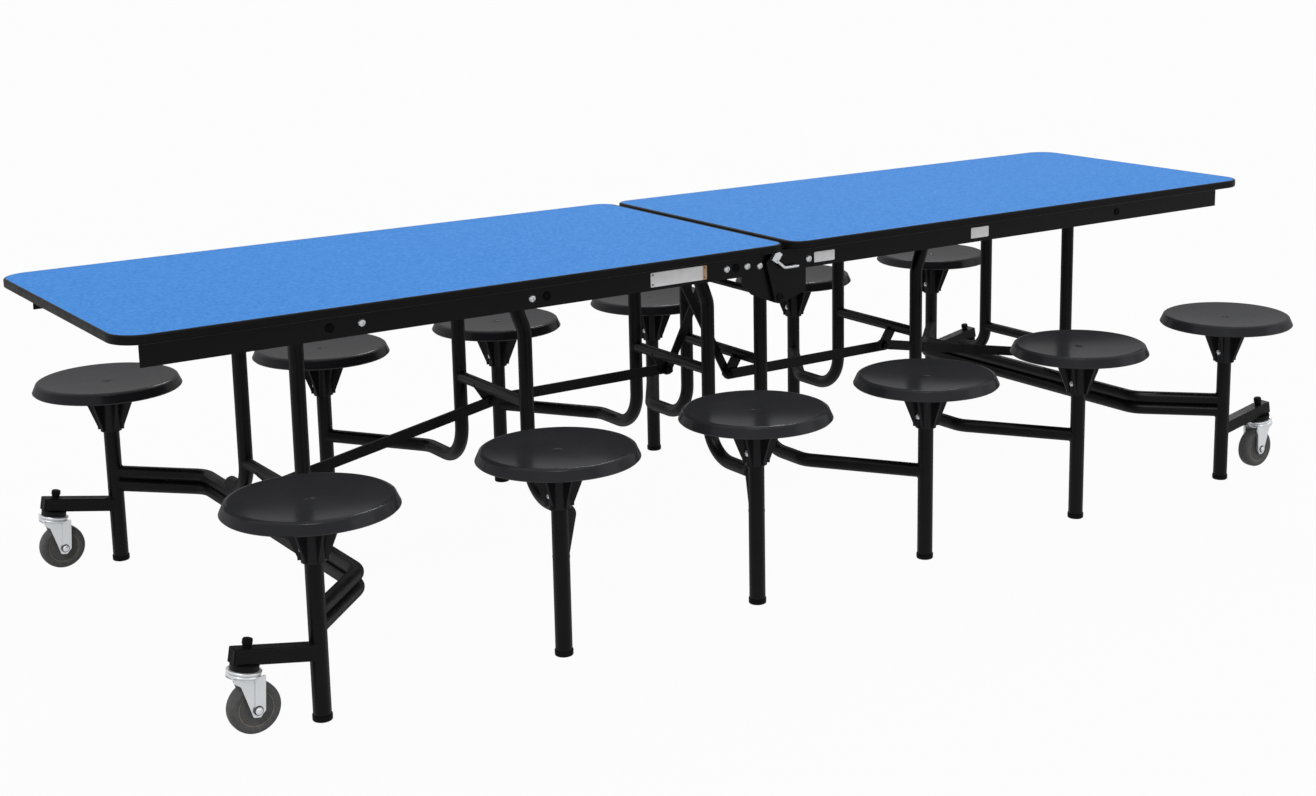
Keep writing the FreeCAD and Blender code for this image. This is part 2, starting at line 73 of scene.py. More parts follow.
# Places that repeat the frame's own sizes, in metres, on the left half.
# The right half is the left half after half a turn.
STANDS = {
    "end": {"leg": -1.091, "pivot": -1.091, "post": -1.250, "brace": 0.302},
    "middle": {"leg": -0.562, "pivot": -0.603, "post": -0.725, "brace": 0.414},
    "centre": {"leg": -0.076, "pivot": -0.117, "post": -0.239, "brace": 0.414},
}
PIVOT_HEIGHT = 0.687
LEG_SPREAD = 0.156
LEG_BEND_DROP = 0.112
ARM_HEIGHT = 0.208
POST_SPREAD = 0.565
POST_RADIUS = 0.01745
PIVOT_RADIUS = 0.01745
LEG_RADIUS = 0.015875
BRACE_RADIUS = 0.0127
BAR_RADIUS = 0.015
BAR_HEIGHTS = (0.212, 0.1816)
STOOL_ARM = Vector((0.163, 0.240, 0))
CASTER_ROOT = Vector((-1.39119, 0.565, 0.16228))
CASTER_TILT = math.radians(10.5)
ARM_HALF = 0.015
ARM_HALF_BREADTH = 0.016
ARM_TAIL = 0.0254
AXLE_HEAD_FOOT = 0.0245
DISH_FLOOR = 0.430
SOCKET_RADIUS = 0.0235
SOCKET_SCREW_HEIGHT = 0.339

# Where the laminate begins: above the board's underside, and beside the joint of the tops, where a
# black band is painted on the skin to widen the dark line between them
SKIN_RISE = {"start": 0.7183, "end": 0.7187}
JOINT_BORDER = {"start": 0.0162, "end": 0.0168}

# Pivots that a hinge plate or a rail plate covers
COVERED_PIVOTS = (("right", "centre", 1), ("right", "middle", 1))

# Rail bolts: X, Z and the node whose outer face carries them
RAIL_BOLTS = {
    "left": (
        (-1.023, 0.689, "left_rails"),
        (-0.639, 0.687, "left_rails"),
        (-0.143, 0.688, "left_rails"),
        (-0.087, 0.688, "left_rails"),
        (-0.050, 0.684, "left_hinge_plates"),
    ),
    "right": ((0.082, 0.686, "right_hinge_plates"),),
}

# Bare plates on the front rails: body, lower left corner and upper right corner in X and Z
RAIL_PLATES = {
    "left_rail_plate": ("left_top", (-0.345, 0.6720), (-0.197, 0.7035)),
    "right_inner_rail_plate": ("right_top", (0.1025, 0.6735), (0.1620, 0.6975)),
    "right_outer_rail_plate": ("right_top", (0.5855, 0.6740), (0.6430, 0.7000)),
}
PLATE_CORNER = 0.0022
PLATE_RIM = 0.0016
PLATE_DISH_SHARE = 0.30
BROWNED_EDGE = {"start": -0.2090, "end": -0.2070}
RIVETED_PLATE = "left_rail_plate"
RIVET_INSET = (0.006, 0.005)
RIVET_SEAT_SHARE = 0.72

# Nuts on the studs of the links and stays: point, and the way along Y that each one faces
LINK_NUTS = {
    "middle_frame": (((-0.532, 0.0745, 0.369), 1), ((-0.532, 0.0555, 0.369), -1)),
    "centre_frame": (((-0.046, 0.0745, 0.369), 1),),
    "end_frame": (((-1.061, 0.0553, 0.270), -1),),
    "stay": (((0.046, -0.0555, 0.369), 1),),
}

# Turned hardware, from foot to tip: shares of the radius and of the height
BOLT_STEPS = (
    (1.00, 0.30), (0.92, 0.62), (0.74, 0.88), (0.50, 1.00),
    (0.40, 0.98), (0.36, 0.52), (0.04, 0.50),
)
CAP_STEPS = ((1.00, 0.45), (0.90, 0.80), (0.66, 1.00), (0.56, 0.70), (0.05, 0.62))
NUT_STEPS = (
    (1.00, 0.86), (0.88, 1.00), (0.60, 1.00), (0.56, 0.82), (0.48, 1.18), (0.04, 1.22),
)
STEM_NECK = 0.86
STEM_STEPS = (
    (STEM_NECK, 0.34), (1.00, 0.40), (1.00, 0.82), (0.90, 0.95), (0.66, 1.00), (0.04, 1.01),
)
RIVET_STEPS = ((1.00, 0.00), (1.00, 0.20), (0.80, 0.45), (0.40, 0.60), (0.05, 0.62))

# Shares of the radius, and heights in metres
SCREW_STEPS = (
    (1.25, -0.0010), (1.25, 0.0008), (1.00, 0.0009), (1.00, 0.0024),
    (0.82, 0.0034), (0.45, 0.0038), (0.40, 0.0022), (0.05, 0.0021),
)
NUT_COLLAR_STEPS = ((1.22, 0.0002), (1.22, 0.0014), (1.00, 0.0015))
# Profile of the dark ring that paints the shadow round a caster's axle head
SHADOW_WASHER_STEPS = ((0.70, -0.0003), (1.00, -0.0003), (1.00, 0.0008), (0.96, 0.0012), (0.70, 0.0012))

# Radii and heights in metres, the boss above the dish and the dome above the axle head's foot
BOSS_PROFILE = (
    (0.0125, -0.00015), (0.0120, 0.00045), (0.0070, 0.00025), (0.0060, 0.00080), (0.0016, 0.00090),
)
DOME_PROFILE = (
    (0.0050, 0.0028), (0.0050, 0.0034), (0.0042, 0.0043), (0.0026, 0.0049), (0.0002, 0.0050),
)

# How far a bolt or stem cap is sunk in what carries it, how much wider a bolt's foot is,
# and how far a pivot cap clears the rail
FOOT_SINK = 0.0005
BOLT_FLARE = 1.02
CAP_CLEARANCE = 0.0003

# Halves of the wheel's profiles: radius, and distance from the middle plane
TYRE_HALF = (
    (0.0330, 0.0130), (0.0355, 0.0152), (0.0400, 0.0160), (0.0440, 0.0157), (0.0472, 0.0138),
    (0.0490, 0.0105), (0.0498, 0.0060), (0.0500, 0.0012), (0.0497, 0.0006),
)
CORE_HALF = (
    (0.0055, 0.0178), (0.0095, 0.0180), (0.0115, 0.0168), (0.0125, 0.0128), (0.0145, 0.0118),
    (0.0290, 0.0112), (0.0312, 0.0120), (0.0322, 0.0140), (0.0345, 0.0142),
)
LIP_INNER = 0.0318
LIP_OUTER = 0.0344
LIP_RISE = 0.0136

# Plugs in the ends of the caster arms
PLUG_STAND_OUT = 0.0022
PLUG_DEPTH = 0.004
PLUG_MARGIN = 0.0006
PLUG_ROUND = 0.0012
PLUG_RIM = 0.003
PLUG_DISH = 0.0008

# Weld beads: the most that a bead grows at the corners of a square tube, and the share of the
# main tube's radius that it may span
SQUARE_CORNER = 1.30
WALL_REACH = 0.999

# A face looks along an axis when its normal has at least this share of it
FACING = 0.99

# Lamps: breadth in degrees, and the place from which each one shines
LAMPS = {
    "key": (20, (-2.6, -2.4, 4.4)),
    "fill": (40, (3.6, -2.8, 3.2)),
    "back": (12, (3.0, 3.8, 3.6)),
    "top": (14, (-0.2, -0.3, 5.0)),
}
FLOOR_DROP = 0.0005
FLOOR_GREY = (0.42, 0.42, 0.42, 1)
FLOOR_ROUGHNESS = 0.9
SENSOR_WIDTH = 36.0
CLIP_START, CLIP_END = 0.05, 300


# Properties


def colour_property(name, description, default):
    return FloatVectorProperty(
        name=name, description=description, subtype="COLOR", size=3, default=default
    )


def length_property(name, description, default, least):
    return FloatProperty(
        name=name, description=description, unit="LENGTH", default=default, min=least
    )


def number_property(name, description, default, **details):
    return FloatProperty(name=name, description=description, default=default, **details)


class TableColours(bpy.types.PropertyGroup):
    """Colours of the finishes"""

    laminate: colour_property("Laminate", "Blue of the table tops", (0.045, 0.232, 0.655))
    laminate_fleck: colour_property("Fleck", "Paler fleck in the blue", (0.080, 0.280, 0.700))
    backing: colour_property("Backing", "Sheet under the tops", (0.055, 0.040, 0.030))
    edging: colour_property("Edging", "Soft band round the tops", (0.005, 0.005, 0.005))
    powder_coat: colour_property("Powder coat", "Black of the frames", (0.0046, 0.0046, 0.0046))
    seat: colour_property("Seat", "Charcoal of the moulded seats", (0.0205, 0.0208, 0.0235))
    foot: colour_property("Feet and caps", "Black of feet, caps and plugs", (0.004, 0.004, 0.004))
    zinc: colour_property("Zinc", "Plated steel of casters and bolts", (0.72, 0.74, 0.76))
    tyre: colour_property("Tyre", "Grey of the caster treads", (0.088, 0.088, 0.087))
    core: colour_property("Wheel core", "Warm grey of the wheel discs", (0.088, 0.074, 0.054))
    core_lip: colour_property("Core lip", "Paler ring round a wheel disc", (0.185, 0.172, 0.145))
    # Colour of the dark rings on the caster axles: painted shadow round each axle head
    washer: colour_property("Washer", "Dark washer on a caster's axle", (0.045, 0.045, 0.045))
    foil: colour_property("Plate", "Bare metal plates on the rails", (0.80, 0.80, 0.81))
    rust: colour_property("Rust", "Brown of a browned plate", (0.45, 0.25, 0.085))


class TableHardware(bpy.types.PropertyGroup):
    """Sizes of the small hardware"""

    bolt_radius: length_property("Bolt radius", "Head of a rail bolt", 0.0082, 0.002)
    bolt_height: length_property("Bolt height", "How far a bolt stands out", 0.0045, 0.001)
    cap_radius: length_property("Pivot cap radius", "Cap over a frame's pivot", 0.0095, 0.002)
    cap_height: length_property("Pivot cap height", "How far it stands out", 0.0028, 0.001)
    screw_radius: length_property("Screw radius", "Screw in a seat's socket", 0.0048, 0.002)
    nut_radius: length_property("Nut radius", "Corner radius of a link nut", 0.0098, 0.002)
    nut_height: length_property("Nut height", "Height of a link nut", 0.0068, 0.002)
    bead: length_property("Weld bead", "Weld round a tube joint", 0.0021, 0.0005)
    rivet_radius: length_property("Rivet radius", "Rivets of the long plate", 0.0022, 0.0005)
    # Radius of the dark ring that paints the shadow round a caster's axle head
    shadow_washer_radius: length_property("Washer radius", "Washer on a caster's axle", 0.0092, 0.004)
    foil_thick: length_property("Plate thickness", "Bare plates on the rails", 0.0009, 0.0002)
    stem_radius: length_property("Stem cap radius", "Cap over a caster's stem", 0.0098, 0.002)
    stem_height: length_property("Stem cap height", "How far it stands up", 0.0180, 0.004)


class TableStage(bpy.types.PropertyGroup):
    """Camera, lamps and floor"""

    lens: number_property("Lens", "Focal length", 53.60, unit="CAMERA")
    camera_place: FloatVectorProperty(
        name="Camera",
        description="Where the camera stands",
        subtype="TRANSLATION",
        size=3,
        default=(-2.6121, -3.8088, 1.5126),
    )
    azimuth: number_property(
        "Azimuth", "Turn round the table", math.radians(-35.28), subtype="ANGLE"
    )
    elevation: number_property(
        "Elevation", "How far the camera looks down", math.radians(11.611), subtype="ANGLE"
    )
    roll: number_property("Roll", "Tilt of the camera", math.radians(-0.745), subtype="ANGLE")
    shift_x: number_property("Shift across", "Lens shift to the side", -0.0502)
    shift_y: number_property("Shift up", "Lens shift upwards", -0.0805)
    floor_size: length_property("Floor", "Side of the floor", 90.0, 1.0)
    floor_white: number_property(
        "Floor whiteness", "Share of plain white", 0.965, subtype="FACTOR", min=0, max=1
    )
    sky: number_property("Sky", "Even light from all round", 0.35)
    key: number_property("Key lamp", "Broad light from the front left", 0.95)
    fill: number_property("Fill lamp", "Broad light from the front right", 0.45)
    back: number_property("Back lamp", "Soft light from behind on the right", 0.55)
    top: number_property("Top lamp", "Narrower light from overhead", 0.80)


# Modelling helpers


def leave_edit_mode():
    """Go to object mode with nothing selected"""
    if bpy.context.mode != "OBJECT":
        bpy.ops.object.mode_set(mode="OBJECT")
    bpy.ops.object.select_all(action="DESELECT")


def named(name):
    """Name the active object and its mesh"""
    piece = bpy.context.object
    piece.name = name
    piece.data.name = name
    return piece


def pick(piece, kind, test):
    """Select the faces or edges of a piece in edit mode that pass a test"""
    bpy.ops.mesh.select_mode(type=kind)
    bpy.ops.mesh.select_all(action="DESELECT")
    mesh = bmesh.from_edit_mesh(piece.data)
    for part in mesh.faces if kind == "FACE" else mesh.edges:
        part.select_set(bool(test(part)))
    mesh.select_flush_mode()
    bmesh.update_edit_mesh(piece.data)


def smooth(piece, angle=32):
    """Shade a piece smooth, with edges sharper than an angle in degrees kept"""
    leave_edit_mode()
    piece.select_set(True)
    bpy.context.view_layer.objects.active = piece
    bpy.ops.object.shade_smooth_by_angle(angle=math.radians(angle))
    piece.select_set(False)


def joined(pieces, name):
    """Join pieces into the first of them"""
    leave_edit_mode()
    for piece in pieces:
        piece.select_set(True)
    bpy.context.view_layer.objects.active = pieces[0]
    if len(pieces) > 1:
        bpy.ops.object.join()
    piece = named(name)
    leave_edit_mode()
    return piece


def stepped(steps, radius, height=1.0, foot=0.0):
    """Profile of a turned piece from the shares in a table of steps"""
    return [(radius * wide, foot + height * high) for wide, high in steps]


def mirrored(half):
    """Profile of a turned piece that is alike on both faces"""
    lower = [(wide, -high) for wide, high in half]
    upper = [(wide, high) for wide, high in reversed(half)]
    return lower + upper


def turned_piece(name, profile, sides):
    """Turn (radius, height) steps about the Z axis: a ring, extruded and scaled step by step"""
    leave_edit_mode()
    radius, height = profile[0]
    bpy.ops.mesh.primitive_circle_add(
        vertices=sides, radius=radius, fill_type="NOTHING", location=(0, 0, height)
    )
    piece = named(name)
    bpy.ops.object.transform_apply(location=True, rotation=True, scale=True)
    bpy.ops.object.mode_set(mode="EDIT")
    bpy.ops.mesh.select_mode(type="EDGE")
    bpy.ops.mesh.select_all(action="SELECT")
    for wide, high in profile[1:]:
        bpy.ops.mesh.extrude_region_move(TRANSFORM_OT_translate={"value": (0, 0, high - height)})
        grow = wide / radius
        bpy.ops.transform.resize(value=(grow, grow, 1), center_override=(0, 0, 0))
        radius, height = wide, high
    bpy.ops.mesh.select_all(action="DESELECT")
    bpy.ops.mesh.select_non_manifold(
        extend=False,
        use_wire=False,
        use_multi_face=False,
        use_non_contiguous=False,
        use_verts=False,
    )
    bpy.ops.mesh.fill_holes(sides=0)
    bpy.ops.mesh.select_all(action="SELECT")
    bpy.ops.mesh.remove_doubles(threshold=1e-6)
    bpy.ops.mesh.normals_make_consistent(inside=False)
    smooth(piece)
    return piece


def box_piece(name, low, high):
    """Box between two corners, left in edit mode to be shaped"""
    leave_edit_mode()
    bpy.ops.mesh.primitive_cube_add(size=1, location=(Vector(low) + Vector(high)) / 2)
    piece = named(name)
    piece.scale = Vector(high) - Vector(low)
    bpy.ops.object.transform_apply(location=True, rotation=True, scale=True)
    bpy.ops.object.mode_set(mode="EDIT")
    return piece


def copies(prototype, name, places):
    """One piece made of copies of a prototype, each with its own mesh, one for each matrix"""
    made = []
    for place in places:
        copy = prototype.copy()
        copy.data = prototype.data.copy()
        bpy.context.scene.collection.objects.link(copy)
        copy.data.transform(place)
        made.append(copy)
    return joined(made, name)


def drop(prototype):
    """Remove a prototype and its mesh"""
    mesh = prototype.data
    bpy.data.objects.remove(prototype)
    bpy.data.meshes.remove(mesh)


def fit_out(piece, material, body):
    """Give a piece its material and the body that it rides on"""
    piece.data.materials.clear()
    piece.data.materials.append(material)
    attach(piece, body)


def along(direction, point):
    """Matrix that takes the Z axis to a direction and the origin to a point"""
    turn = Vector(direction).to_track_quat("Z", "Y").to_matrix().to_4x4()
    return Matrix.Translation(Vector(point)) @ turn


def half_turn(side):
    """Matrix that takes a place on the left half to the same place on a side"""
    return Matrix.Rotation(SIDES[side], 4, "Z")


def body_of_stand(side, place):
    return f"{side}_{place}_frame"


def seat_nodes():
    return [f"{side}_{place}_{row}_seat" for side in SIDES for place in STANDS for row in ROWS]


def middle_of(node):
    low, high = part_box(node)
    return (low + high) / 2


# Finishes


class Finish:
    """A node material that is put together step by step"""

    def __init__(self, name):
        self.material = bpy.data.materials.new(name)
        self.material.use_nodes = True
        self.tree = self.material.node_tree
        self.shader = self.tree.nodes["Principled BSDF"]
        self.place = self.tree.nodes.new("ShaderNodeTexCoord").outputs["Object"]

    def node(self, kind, **values):
        made = self.tree.nodes.new(kind)
        for key, value in values.items():
            setattr(made, key, value)
        return made

    def join(self, source, target):
        self.tree.links.new(source, target)

    def noise(self, scale, detail=2.0, rough=0.5, stretch=None):
        """Cloudy pattern, drawn out along an axis where stretch is small"""
        made = self.node("ShaderNodeTexNoise")
        made.inputs["Scale"].default_value = scale
        made.inputs["Detail"].default_value = detail
        made.inputs["Roughness"].default_value = rough
        vector = self.place
        if stretch:
            mapping = self.node("ShaderNodeMapping")
            mapping.inputs["Scale"].default_value = stretch
            self.join(self.place, mapping.inputs["Vector"])
            vector = mapping.outputs["Vector"]
        self.join(vector, made.inputs["Vector"])
        return made.outputs["Fac"]

    def cells(self, scale):
        """Pebbled pattern"""
        made = self.node("ShaderNodeTexVoronoi")
        made.inputs["Scale"].default_value = scale
        self.join(self.place, made.inputs["Vector"])
        return made.outputs["Distance"]

    def ramp(self, source, stops):
        """Colour that runs through the stops, each a position and a colour"""
        made = self.node("ShaderNodeValToRGB")
        points = made.color_ramp.elements
        while len(points) < len(stops):
            points.new(0.5)
        for point, (position, colour) in zip(points, stops):
            point.position = position
            point.color = (*colour, 1)
        self.join(source, made.inputs["Fac"])
        return made.outputs["Color"]

    def spread(self, source, low, high, start=0.3, end=0.7):
        """Value that goes from low to high while the source goes from start to end"""
        made = self.node("ShaderNodeMapRange")
        made.inputs["From Min"].default_value = start
        made.inputs["From Max"].default_value = end
        made.inputs["To Min"].default_value = low
        made.inputs["To Max"].default_value = high
        self.join(source, made.inputs["Value"])
        return made.outputs["Result"]

    def mix(self, share, first, second):
        """Colour between two colours, by the share of the second"""
        made = self.node("ShaderNodeMix", data_type="RGBA")
        for socket, value in (("Factor", share), ("A", first), ("B", second)):
            target = [s for s in made.inputs if s.name == socket and s.enabled][0]
            if isinstance(value, bpy.types.NodeSocket):
                self.join(value, target)
            else:
                target.default_value = (*value, 1)
        return [s for s in made.outputs if s.enabled][0]

    def add(self, first, second, share=1.0):
        """First value, and a share of the second"""
        made = self.node("ShaderNodeMath", operation="MULTIPLY_ADD")
        made.inputs[1].default_value = share
        self.join(second, made.inputs[0])
        self.join(first, made.inputs[2])
        return made.outputs[0]

    def axis(self, letter):
        made = self.node("ShaderNodeSeparateXYZ")
        self.join(self.place, made.inputs[0])
        return made.outputs[letter]

    def off_middle(self):
        """Distance from the joint of the tops"""
        made = self.node("ShaderNodeMath", operation="ABSOLUTE")
        self.join(self.axis("X"), made.inputs[0])
        return made.outputs[0]

    def dulled(self, gloss, most=0.6, start=0.50, end=0.88):
        """Roughness that grows where a surface turns away, so that tube flanks don't glare"""
        facing = self.node("ShaderNodeLayerWeight").outputs["Facing"]
        return self.add(gloss, self.spread(facing, low=0.0, high=most, start=start, end=end))

    def bump(self, source, strength, depth):
        made = self.node("ShaderNodeBump")
        made.inputs["Strength"].default_value = strength
        made.inputs["Distance"].default_value = depth
        self.join(source, made.inputs["Height"])
        self.join(made.outputs["Normal"], self.shader.inputs["Normal"])

    def set(self, **values):
        """Set or link sockets of the shader, named with underscores"""
        for key, value in values.items():
            socket = self.shader.inputs[key.replace("_", " ")]
            if isinstance(value, bpy.types.NodeSocket):
                self.join(value, socket)
            else:
                socket.default_value = value


def scaled(colour, factor):
    return tuple(min(1.0, c * factor) for c in colour)


def laminate_finish(colours):
    """Flecked blue skin, painted black in a band beside the joint to widen the dark line between
    the tops, and the plain sheet under the board
    """
    finish = Finish("blue_laminate")
    grain = finish.noise(520, detail=3.0, rough=0.6)
    mottle = finish.noise(150, rough=0.55)
    cloud = finish.noise(5.0)
    deep = scaled(colours.laminate, 0.86)
    blue = finish.ramp(
        finish.add(mottle, grain, share=0.8),
        [(0.62, deep), (0.90, colours.laminate), (1.0, colours.laminate_fleck)],
    )
    blue = finish.mix(finish.spread(cloud, low=0.0, high=0.10), blue, colours.laminate_fleck)
    # Black band painted on the skin beside the joint, in the edging's colour, which widens the
    # dark line between the tops
    clear = finish.spread(finish.off_middle(), low=0.0, high=1.0, **JOINT_BORDER)
    blue = finish.mix(clear, colours.edging, blue)
    under = finish.noise(90, detail=4.0, rough=0.7)
    shades = [(0.3, scaled(colours.backing, 0.7)), (0.7, scaled(colours.backing, 1.3))]
    board = finish.ramp(under, shades)
    topside = finish.spread(finish.axis("Z"), low=0.0, high=1.0, **SKIN_RISE)
    finish.set(
        Base_Color=finish.mix(topside, board, blue),
        Roughness=finish.spread(grain, low=0.54, high=0.68),
        Specular_IOR_Level=0.03,
    )
    finish.bump(grain, strength=0.10, depth=0.0004)
    return finish.material


def edging_finish(colours):
    """Soft black band with faint scuffs"""
    finish = Finish("black_edging")
    scuff = finish.noise(60, detail=4.0, rough=0.65)
    shades = [(0.35, colours.edging), (0.72, scaled(colours.edging, 1.7))]
    finish.set(
        Base_Color=finish.ramp(scuff, shades),
        Roughness=finish.spread(scuff, low=0.44, high=0.58),
        Specular_IOR_Level=0.07,
    )
    finish.bump(finish.noise(700), strength=0.06, depth=0.0003)
    return finish.material


def powder_coat_finish(colours, name="black_powder_coat", ripple=False):
    """Black coat with the skin of an orange, or with the ripple of a weld"""
    finish = Finish(name)
    cloud = finish.noise(14, detail=3.0, rough=0.6)
    shades = [(0.3, scaled(colours.powder_coat, 0.8)), (0.75, scaled(colours.powder_coat, 1.6))]
    finish.set(
        Base_Color=finish.ramp(cloud, shades),
        Roughness=finish.dulled(finish.spread(cloud, low=0.26, high=0.36)),
        Specular_IOR_Level=0.10,
    )
    if ripple:
        finish.bump(finish.noise(260, detail=1.0), strength=0.5, depth=0.0012)
    else:
        peel = finish.add(finish.cells(430), finish.noise(900), share=0.6)
        finish.bump(peel, strength=0.07, depth=0.0004)
    return finish.material


def seat_finish(colours):
    """Charcoal moulding with a fine pebble, a thin gloss and paler rubbed spots"""
    finish = Finish("charcoal_seat")
    pebble = finish.add(finish.cells(620), finish.noise(1100), share=0.7)
    cloud = finish.noise(9.0, detail=3.0, rough=0.55)
    rub = finish.noise(70, detail=5.0, rough=0.7)
    shades = [(0.3, scaled(colours.seat, 0.86)), (0.75, scaled(colours.seat, 1.16))]
    rubbed = finish.spread(rub, low=0.0, high=0.18, start=0.55, end=0.85)
    finish.set(
        Base_Color=finish.mix(rubbed, finish.ramp(cloud, shades), scaled(colours.seat, 1.7)),
        Roughness=finish.dulled(finish.spread(rub, low=0.36, high=0.46)),
        Specular_IOR_Level=0.02,
        Coat_Weight=0.18,
        Coat_Roughness=0.15,
    )
    finish.bump(pebble, strength=0.10, depth=0.0004)
    return finish.material


def rubber_finish(name, colour, gloss=0.28):
    """Dull moulded rubber or plastic with a little dust"""
    finish = Finish(name)
    dust = finish.noise(120, detail=4.0, rough=0.7)
    shades = [(0.35, scaled(colour, 0.85)), (0.75, scaled(colour, 1.35))]
    finish.set(
        Base_Color=finish.ramp(dust, shades),
        Roughness=finish.spread(dust, low=0.55, high=0.72),
        Specular_IOR_Level=gloss,
    )
    finish.bump(finish.noise(800), strength=0.12, depth=0.0003)
    return finish.material


def zinc_finish(colours):
    """Plated steel with upright brushing and a faint bloom"""
    finish = Finish("zinc_plate")
    brushed = finish.noise(220, stretch=(1.0, 1.0, 0.10))
    bloom = finish.noise(30)
    finish.set(
        Base_Color=finish.ramp(bloom, [(0.3, scaled(colours.zinc, 0.96)), (0.7, colours.zinc)]),
        Metallic=0.7,
        Roughness=finish.spread(brushed, low=0.33, high=0.37),
    )
    return finish.material


def foil_finish(colours, name, browned=None):
    """Bare metal sheet with brown stains, and with an edge gone brown over a span of X"""
    finish = Finish(name)
    brushed = finish.noise(300, detail=3.0, rough=0.6, stretch=(0.06, 1.0, 1.0))
    crinkle = finish.noise(42, detail=3.0, rough=0.6)
    stain = finish.noise(110, detail=4.0, rough=0.7)
    shades = [(0.3, scaled(colours.foil, 0.94)), (0.7, scaled(colours.foil, 1.05))]
    stained = finish.spread(stain, low=0.0, high=0.5, start=0.66, end=0.78)
    tone = finish.mix(stained, finish.ramp(crinkle, shades), colours.rust)
    if browned:
        edge = finish.spread(finish.axis("X"), low=0.0, high=0.8, **browned)
        tone = finish.mix(edge, tone, colours.rust)
    finish.set(
        Base_Color=tone,
        Metallic=0.50,
        Roughness=finish.spread(brushed, low=0.42, high=0.54),
    )
    finish.bump(crinkle, strength=0.06, depth=0.0006)
    return finish.material


FINISHES = {}


def finishes(scene):
    """All finishes, made once"""
    if not FINISHES:
        colours = scene.table_colours
        FINISHES.update(
            laminate=laminate_finish(colours),
            edging=edging_finish(colours),
            coat=powder_coat_finish(colours),
            weld=powder_coat_finish(colours, "weld_powder_coat", ripple=True),
            seat=seat_finish(colours),
            foot=rubber_finish("black_foot", colours.foot, gloss=0.07),
            cap=rubber_finish("black_cap", colours.foot, gloss=0.07),
            zinc=zinc_finish(colours),
            tyre=rubber_finish("grey_tyre", colours.tyre),
            core=rubber_finish("warm_grey_core", colours.core),
            lip=rubber_finish("pale_core_lip", colours.core_lip),
            rust=rubber_finish("brown_rivet", colours.rust),
            # Dark finish of the rings on the caster axles: painted shadow
            washer=rubber_finish("dark_washer", colours.washer),
            foil=foil_finish(colours, "bare_foil"),
            browned_foil=foil_finish(colours, "browned_foil", BROWNED_EDGE),
        )
    return FINISHES


def paint(node, material):
    """Give a node of the frame its material"""
    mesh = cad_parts[node].data
    mesh.materials.clear()
    mesh.materials.append(material)


# Operators for the pieces


class TABLE_OT_tops(bpy.types.Operator):
    """Lay the laminate on the tops and the soft band round them"""

    bl_idname = "stool_table.tops"
    bl_label = "Tops and edging"

    def execute(self, context):
        finish = finishes(context.scene)
        for side in SIDES:
            paint(f"{side}_top", finish["laminate"])
            paint(f"{side}_edging", finish["edging"])
        return {"FINISHED"}


class TABLE_OT_frames(bpy.types.Operator):
    """Powder-coat the rails, frames, links and hinge, and plate the forks and release handle"""

    bl_idname = "stool_table.frames"
    bl_label = "Frames and linkage"

    def execute(self, context):
        finish = finishes(context.scene)
        coated = ["rails", "hinge_plates", "end_bars", "caster_arms"]
        coated += ["inner_link", "outer_link", "stay"]
        coated += [f"{place}_{piece}" for place in STANDS for piece in ("frame", "posts")]
        for side in SIDES:
            for piece in coated:
                paint(f"{side}_{piece}", finish["coat"])
            for place in STANDS:
                paint(f"{side}_{place}_feet", finish["foot"])
            for row in ROWS:
                paint(f"{side}_{row}_caster_fork", finish["zinc"])
        paint("hinge_bar", finish["coat"])
        paint("release_handle", finish["zinc"])
        return {"FINISHED"}


class TABLE_OT_seats(bpy.types.Operator):
    """Finish the moulded seats and add the moulding boss in each dish"""

    bl_idname = "stool_table.seats"
    bl_label = "Seats"

    def execute(self, context):
        finish = finishes(context.scene)
        boss = turned_piece("boss", BOSS_PROFILE, sides=40)
        for node in seat_nodes():
            paint(node, finish["seat"])
            middle = middle_of(node)
            at = Matrix.Translation((middle.x, middle.y, DISH_FLOOR))
            piece = copies(boss, f"{node}_boss", [at])
            fit_out(piece, finish["seat"], node)
        drop(boss)
        return {"FINISHED"}


class TABLE_OT_seat_screws(bpy.types.Operator):
    """Put the screw in the socket of each seat"""

    bl_idname = "stool_table.seat_screws"
    bl_label = "Seat screws"

    def execute(self, context):
        finish = finishes(context.scene)
        radius = context.scene.table_hardware.screw_radius
        screw = turned_piece("screw", stepped(SCREW_STEPS, radius), sides=24)
        for node in seat_nodes():
            middle = middle_of(node)
            at = along((-1, 0, 0), (middle.x - SOCKET_RADIUS, middle.y, SOCKET_SCREW_HEIGHT))
            piece = copies(screw, f"{node}_screw", [at])
            fit_out(piece, finish["zinc"], node)
        drop(screw)
        return {"FINISHED"}


class TABLE_OT_rail_bolts(bpy.types.Operator):
    """Set the bolts in the rails and hinge plates"""

    bl_idname = "stool_table.rail_bolts"
    bl_label = "Rail bolts"

    def execute(self, context):
        finish = finishes(context.scene)
        sizes = context.scene.table_hardware
        radius, height = sizes.bolt_radius, sizes.bolt_height
        foot = (radius * BOLT_FLARE, -FOOT_SINK)
        bolt = turned_piece("bolt", [foot, *stepped(BOLT_STEPS, radius, height)], sides=28)
        for side, bolts in RAIL_BOLTS.items():
            at = []
            for x, z, node in bolts:
                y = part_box(node)[1].y
                at += [along((0, sign, 0), (x, sign * y, z)) for sign in ROWS.values()]
            piece = copies(bolt, f"{side}_rail_bolts", at)
            fit_out(piece, finish["zinc"], f"{side}_top")
        drop(bolt)
        return {"FINISHED"}


